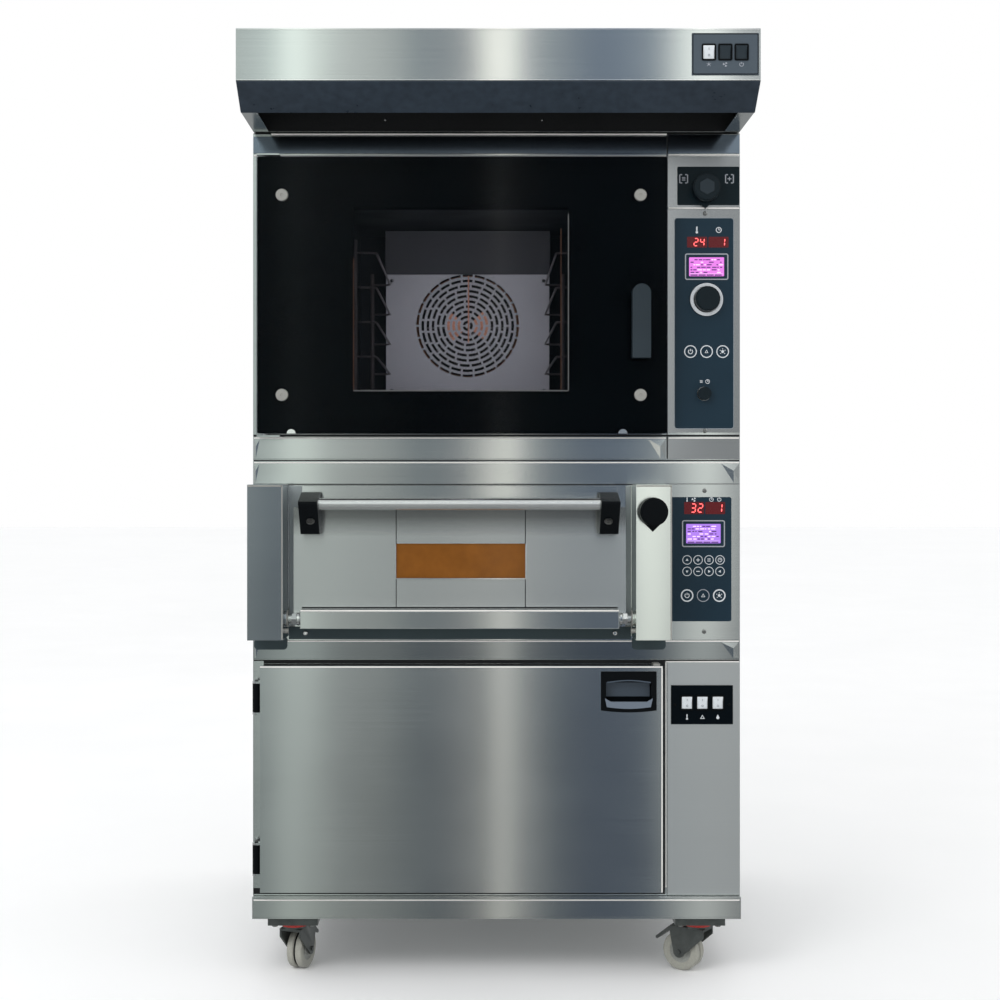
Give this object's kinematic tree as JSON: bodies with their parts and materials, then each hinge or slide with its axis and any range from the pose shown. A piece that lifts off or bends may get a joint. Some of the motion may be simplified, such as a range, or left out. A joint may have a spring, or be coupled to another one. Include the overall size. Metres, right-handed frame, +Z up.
{
  "type": "deck oven",
  "caption": "Bakery oven tower on castors: proving cabinet, deck oven with drop-down door, convection oven with glass door, and extraction hood.",
  "frame": {"origin": "on the floor, under the middle of the whole tower's box", "axes": "+X to the right as a baker faces the doors, +Y from the front to the back, +Z up"},
  "size_m": [1, 1.1496, 1.917],
  "materials": {
    "satin_steel": "brushed stainless sheet",
    "inner_steel": "plain stainless sheet",
    "zinc_plate": "bright zinc plate",
    "black_plastic": "moulded",
    "bracket_black": "black enamel on cast metal",
    "smoked_panel": "gloss",
    "lit_rocker": "lit white lens",
    "black_glass": "gloss",
    "clear_glass": "gloss",
    "amber_glass": "gloss",
    "heater_sheath": "heat-stained metal tube",
    "baking_stone": "rough fired clay",
    "castor_tyre": "grey rubber",
    "cast_aluminium": "as cast"
  },
  "bodies": {
    "tower": {"base_frame": "satin_steel", "proofer_casing": "satin_steel", "proofer_front_panel": "satin_steel", "deck_casing": "satin_steel", "deck_pillar_left": "satin_steel", "deck_pillar_right": "satin_steel", "deck_control_panel": "satin_steel", "convection_casing": "satin_steel", "convection_control_panel": "satin_steel", "convection_vent_panel": "satin_steel", "hood_shell": "satin_steel", "proofer_liner": "inner_steel", "humidity_pan": "inner_steel", "deck_chamber": "inner_steel", "convection_chamber": "inner_steel", "fan_baffle": "inner_steel", "tray_rack_left": "inner_steel", "tray_rack_right": "inner_steel", "hood_filter": "inner_steel", "proofer_hinge_lower": "black_plastic", "proofer_hinge_upper": "black_plastic", "proofer_switch_plate": "black_plastic", "hood_switch_plate": "black_plastic", "hood_visor": "smoked_panel", "ring_heater": "heater_sheath", "deck_heater_top": "heater_sheath", "deck_stone": "baking_stone", "fan_motor": "cast_aluminium"},
    "proofer_door": {"proofer_door": "satin_steel", "proofer_door_handle": "black_plastic"},
    "deck_door": {"deck_door": "satin_steel", "deck_door_glass": "amber_glass", "deck_handle_bar": "satin_steel", "deck_bracket_left": "bracket_black", "deck_bracket_right": "bracket_black"},
    "convection_door": {"convection_door_frame": "satin_steel", "convection_door_glass": "black_glass", "convection_inner_glass": "clear_glass"},
    "door_latch": {"convection_door_handle": "black_plastic"},
    "fan": {"fan_impeller": "inner_steel"},
    "vent_knob": {"vent_knob": "black_plastic"},
    "program_knob": {"program_knob": "black_plastic"},
    "deck_vent_knob": {"deck_vent_knob": "black_plastic"},
    "reset_button": {"reset_button": "black_plastic"},
    "proofer_switch_1": {"proofer_switch_1": "lit_rocker"},
    "proofer_switch_2": {"proofer_switch_2": "lit_rocker"},
    "proofer_switch_3": {"proofer_switch_3": "lit_rocker"},
    "hood_switch_1": {"hood_switch_1": "lit_rocker"},
    "hood_switch_2": {"hood_switch_2": "black_plastic"},
    "hood_switch_3": {"hood_switch_3": "black_plastic"},
    "castor_swivel_fl": {"castor_fork_fl": "zinc_plate"},
    "castor_wheel_fl": {"castor_wheel_fl": "castor_tyre"},
    "castor_brake_fl": {"castor_brake_fl": "black_plastic"},
    "castor_swivel_fr": {"castor_fork_fr": "zinc_plate"},
    "castor_wheel_fr": {"castor_wheel_fr": "castor_tyre"},
    "castor_brake_fr": {"castor_brake_fr": "black_plastic"},
    "castor_swivel_rl": {"castor_fork_rl": "zinc_plate"},
    "castor_wheel_rl": {"castor_wheel_rl": "castor_tyre"},
    "castor_swivel_rr": {"castor_fork_rr": "zinc_plate"},
    "castor_wheel_rr": {"castor_wheel_rr": "castor_tyre"}
  },
  "joints": [
    {"name": "castor_swivel_fl", "type": "hinge", "parent": "tower", "child": "castor_swivel_fl", "pos_m": [-0.418, -0.28715, 0.1], "axis": [0, 0, 1], "continuous": true},
    {"name": "castor_roll_fl", "type": "hinge", "parent": "castor_swivel_fl", "child": "castor_wheel_fl", "pos_m": [-0.40811, -0.25672, 0.04], "axis": [-0.9511, 0.309, 0], "continuous": true},
    {"name": "castor_brake_fl", "type": "hinge", "parent": "castor_swivel_fl", "child": "castor_brake_fl", "pos_m": [-0.4007, -0.2339, 0.084], "axis": [0.9511, -0.309, 0], "range_deg": [0, 22]},
    {"name": "castor_swivel_fr", "type": "hinge", "parent": "tower", "child": "castor_swivel_fr", "pos_m": [0.418, -0.28715, 0.1], "axis": [0, 0, 1], "continuous": true},
    {"name": "castor_roll_fr", "type": "hinge", "parent": "castor_swivel_fr", "child": "castor_wheel_fr", "pos_m": [0.39147, -0.26926, 0.04], "axis": [-0.5592, -0.829, 0], "continuous": true},
    {"name": "castor_brake_fr", "type": "hinge", "parent": "castor_swivel_fr", "child": "castor_brake_fr", "pos_m": [0.37157, -0.25584, 0.084], "axis": [0.5592, 0.829, 0], "range_deg": [0, 22]},
    {"name": "castor_swivel_rl", "type": "hinge", "parent": "tower", "child": "castor_swivel_rl", "pos_m": [-0.418, 0.51284, 0.1], "axis": [0, 0, 1], "continuous": true},
    {"name": "castor_roll_rl", "type": "hinge", "parent": "castor_swivel_rl", "child": "castor_wheel_rl", "pos_m": [-0.42356, 0.48133, 0.04], "axis": [0.9848, -0.1736, 0], "continuous": true},
    {"name": "castor_swivel_rr", "type": "hinge", "parent": "tower", "child": "castor_swivel_rr", "pos_m": [0.418, 0.51284, 0.1], "axis": [0, 0, 1], "continuous": true},
    {"name": "castor_roll_rr", "type": "hinge", "parent": "castor_swivel_rr", "child": "castor_wheel_rr", "pos_m": [0.42789, 0.48241, 0.04], "axis": [0.9511, 0.309, 0], "continuous": true},
    {"name": "proofer_door_hinge", "type": "hinge", "parent": "tower", "child": "proofer_door", "pos_m": [-0.49, -0.34515, 0.413], "axis": [0, 0, -1], "range_deg": [0, 110]},
    {"name": "deck_door_hinge", "type": "hinge", "parent": "tower", "child": "deck_door", "pos_m": [-0.075, -0.37516, 0.74], "axis": [1, 0, 0], "range_deg": [0, 90]},
    {"name": "convection_door_hinge", "type": "hinge", "parent": "tower", "child": "convection_door", "pos_m": [-0.472, -0.35115, 1.395], "axis": [0, 0, -1], "range_deg": [0, 110]},
    {"name": "door_latch_turn", "type": "hinge", "parent": "convection_door", "child": "door_latch", "pos_m": [0.2894, -0.37516, 1.3945], "axis": [0, 1, 0], "range_deg": [0, 90]},
    {"name": "fan_spin", "type": "hinge", "parent": "tower", "child": "fan", "pos_m": [-0.062, 0.33485, 1.398], "axis": [0, 1, 0], "continuous": true},
    {"name": "vent_turn", "type": "hinge", "parent": "tower", "child": "vent_knob", "pos_m": [0.428, -0.33515, 1.616], "axis": [0, 1, 0], "range_deg": [-45, 45]},
    {"name": "program_turn", "type": "hinge", "parent": "tower", "child": "program_knob", "pos_m": [0.4306, -0.33515, 1.39], "axis": [0, 1, 0], "continuous": true},
    {"name": "deck_vent_turn", "type": "hinge", "parent": "tower", "child": "deck_vent_knob", "pos_m": [0.31, -0.42516, 0.957], "axis": [0, 1, 0], "range_deg": [-45, 45]},
    {"name": "reset_press", "type": "slide", "parent": "tower", "child": "reset_button", "axis": [0, 1, 0], "range_m": [0, 0.0025], "stiffness_N_per_m": 500, "springref_m": -0.001},
    {"name": "proofer_switch_1_rock", "type": "hinge", "parent": "tower", "child": "proofer_switch_1", "pos_m": [0.3906, -0.32366, 0.564], "axis": [1, 0, 0], "range_deg": [-16, 0]},
    {"name": "proofer_switch_2_rock", "type": "hinge", "parent": "tower", "child": "proofer_switch_2", "pos_m": [0.4222, -0.32366, 0.564], "axis": [1, 0, 0], "range_deg": [-16, 0]},
    {"name": "proofer_switch_3_rock", "type": "hinge", "parent": "tower", "child": "proofer_switch_3", "pos_m": [0.4538, -0.32366, 0.564], "axis": [1, 0, 0], "range_deg": [-16, 0]},
    {"name": "hood_switch_1_rock", "type": "hinge", "parent": "tower", "child": "hood_switch_1", "pos_m": [0.399, -0.56666, 1.8315], "axis": [1, 0, 0], "range_deg": [-16, 0]},
    {"name": "hood_switch_2_rock", "type": "hinge", "parent": "tower", "child": "hood_switch_2", "pos_m": [0.43, -0.56666, 1.8315], "axis": [1, 0, 0], "range_deg": [-16, 0]},
    {"name": "hood_switch_3_rock", "type": "hinge", "parent": "tower", "child": "hood_switch_3", "pos_m": [0.461, -0.56666, 1.8315], "axis": [1, 0, 0], "range_deg": [-16, 0]}
  ]
}
